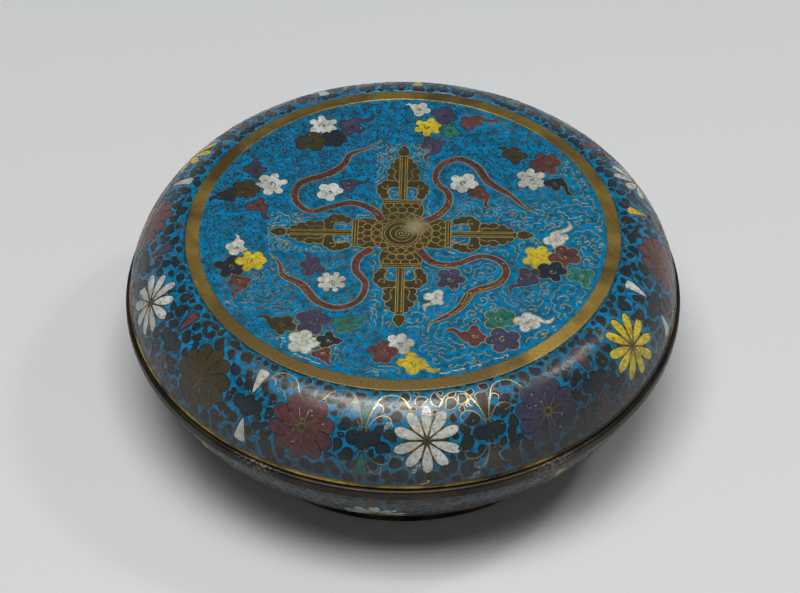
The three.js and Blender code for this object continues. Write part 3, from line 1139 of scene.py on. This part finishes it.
def field_gold_and_light(points):
    """The ribbons and the thunderbolt keep the brightest wires; the rest of the ground's wires grow brighter
    towards the front right, partly from wear and partly painted light.
    """
    bright = np.array([not ribbon_ground.clear(p, 0.3) for p in points])
    turned_back = (points - VAJRA_CENTRE) * np.exp(-1j * VAJRA_TURN)
    aside = np.minimum(np.abs(turned_back.real), np.abs(turned_back.imag))
    bright |= (aside < ARM_HALF) & (np.abs(turned_back) < ARM_LENGTH)
    # Brighter towards the front right: partly painted light.
    return np.where(bright, 0.2, 0.2 * (points.real - points.imag) / DIAGONAL - 0.07)


drawn = (shoulder_design, band_plan, band_edges, place_on_lid)
wires_piece("lid_shoulder_wires", *drawn, shoulder_gold_and_painted_light, scroll_gilding, open_gold=0.26)
wires_piece("lid_field_wires", field, field_plan, field_edges, place_on_lid, field_gold_and_light, wire_gilding)


# ---- Lid ring -----------------------------------------------------------------------------------------
# A flat gilt copper ring, set in a step of the lid between field and shoulder. Its gold is dull and olive,
# brighter towards the front right, partly from wear and partly painted light, and worn down to brown
# copper at the front.
RING_TOP = size("lid_ring", 1, 2)
RING_BARE = (-16, -55, 57), 48  # the worn stretch at the front
# The ring's gold is brighter towards the front right: partly wear, partly painted light.
ring_wear_and_light = {"roughness": 0.46, "rubbed": 0.5, "bare": RING_BARE}
ring_gilding = old_gilding("old gilding, ring", gold="B4984F", tarnish="76633C", patch_mm=13, **ring_wear_and_light)
lid_ring = turned(
    "lid_ring_gilt",
    [
        (ring_inner, step_floor, 0),
        (ring_inner, RING_TOP, 0.35),
        (FIELD_R, RING_TOP - RING_FALL, 0.35),
        (FIELD_R, step_floor, 0),
    ],
    ring_gilding,
)
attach(lid_ring, "root")
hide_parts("lid_ring")


# ---- Floor, light and camera --------------------------------------------------------------------------
# A seamless pale table in a soft-lit studio. A wide soft box hangs overhead, leaning to the viewer's side,
# and a small lamp stands to the right. The room above them is dark, and pale near the horizon.
bpy.context.scene.view_settings.view_transform = "Standard"

table_top = bpy.data.materials.new("pale table")
table_top.use_nodes = True
tree = table_top.node_tree
tone = add(tree, "ShaderNodeTexNoise", {"Scale": 3.0, "Detail": 2.0})
shade = blend(tree, tone.outputs[0], "DBDCDD", "DFE0E0")
feed(tree, tree.nodes["Principled BSDF"], {"Base Color": shade, "Roughness": 0.8})
mesh = bpy.data.meshes.new("table")
TABLE = 4  # metres from its middle to its edge
corners = [(-TABLE, -TABLE, 0), (TABLE, -TABLE, 0), (TABLE, TABLE, 0), (-TABLE, TABLE, 0)]
mesh.from_pydata(corners, [], [(0, 1, 2, 3)])
mesh.materials.append(table_top)
table = new_object("table", mesh)
table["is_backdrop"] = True


def soft_box(name, place, target, width, depth, brightness):
    """A rectangular light; its brightness is radiance, so its power follows from its area."""
    light = bpy.data.lights.new(name, "AREA")
    light.shape = "RECTANGLE"
    light.size, light.size_y = width, depth
    light.energy = brightness * math.pi * width * depth
    lamp = new_object(name, light)
    lamp.location = place
    lamp.rotation_euler = (Vector(target) - Vector(place)).to_track_quat("-Z", "Y").to_euler()
    return lamp


HANG = 1.6
key = soft_box("key", (-0.06, -0.42, HANG), (-0.06, -0.42, 0), 0.95, 0.67, 11.2)
key.visible_glossy = False
sheen = soft_box("sheen", (-0.12, -0.22, HANG), (-0.12, -0.22, 0), 0.74, 0.75, 16.0)
sheen.visible_diffuse = False
fill = soft_box("fill", (0.4, -1.2, 0.5), (0, 0, 0), 2.0, 0.8, 0.25)
fill.visible_glossy = False
soft_box("right", (0.67, 0.13, 0.99), (0, 0, LID_TOP * MM), 0.13, 0.13, 30)

world = bpy.data.worlds.new("studio")
bpy.context.scene.world = world
world.use_nodes = True
tree = world.node_tree
way = add(tree, "ShaderNodeSeparateXYZ", {0: add(tree, "ShaderNodeTexCoord").outputs["Generated"]}).outputs
low = ramp(tree, way["Z"], 0.15, 0.5, 0.6, 0.03)
behind = ramp(tree, way["Y"], -0.85, -0.35, 0.08, 1.0)
glow = maths(tree, "MULTIPLY", low, behind)
feed(tree, tree.nodes["Background"], {"Color": linear("F6F7F6"), "Strength": glow})

camera_data = bpy.data.cameras.new("camera")
camera_data.lens = 136.8
camera_data.sensor_width = 36
camera_data.clip_start = 0.05
camera = new_object("camera", camera_data)
CAMERA_DISTANCE = 0.824
CAMERA_RISE = math.radians(43.24)
CAMERA_DIP = math.radians(44.44)
camera.location = (
    0,
    -CAMERA_DISTANCE * math.cos(CAMERA_RISE),
    LID_TOP * MM + CAMERA_DISTANCE * math.sin(CAMERA_RISE),
)
camera.rotation_euler = (math.pi / 2 - CAMERA_DIP, 0, math.radians(0.08))
bpy.context.scene.camera = camera

visual_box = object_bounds()
[[list(corner) for corner in box] for box in (cad_box, visual_box)]
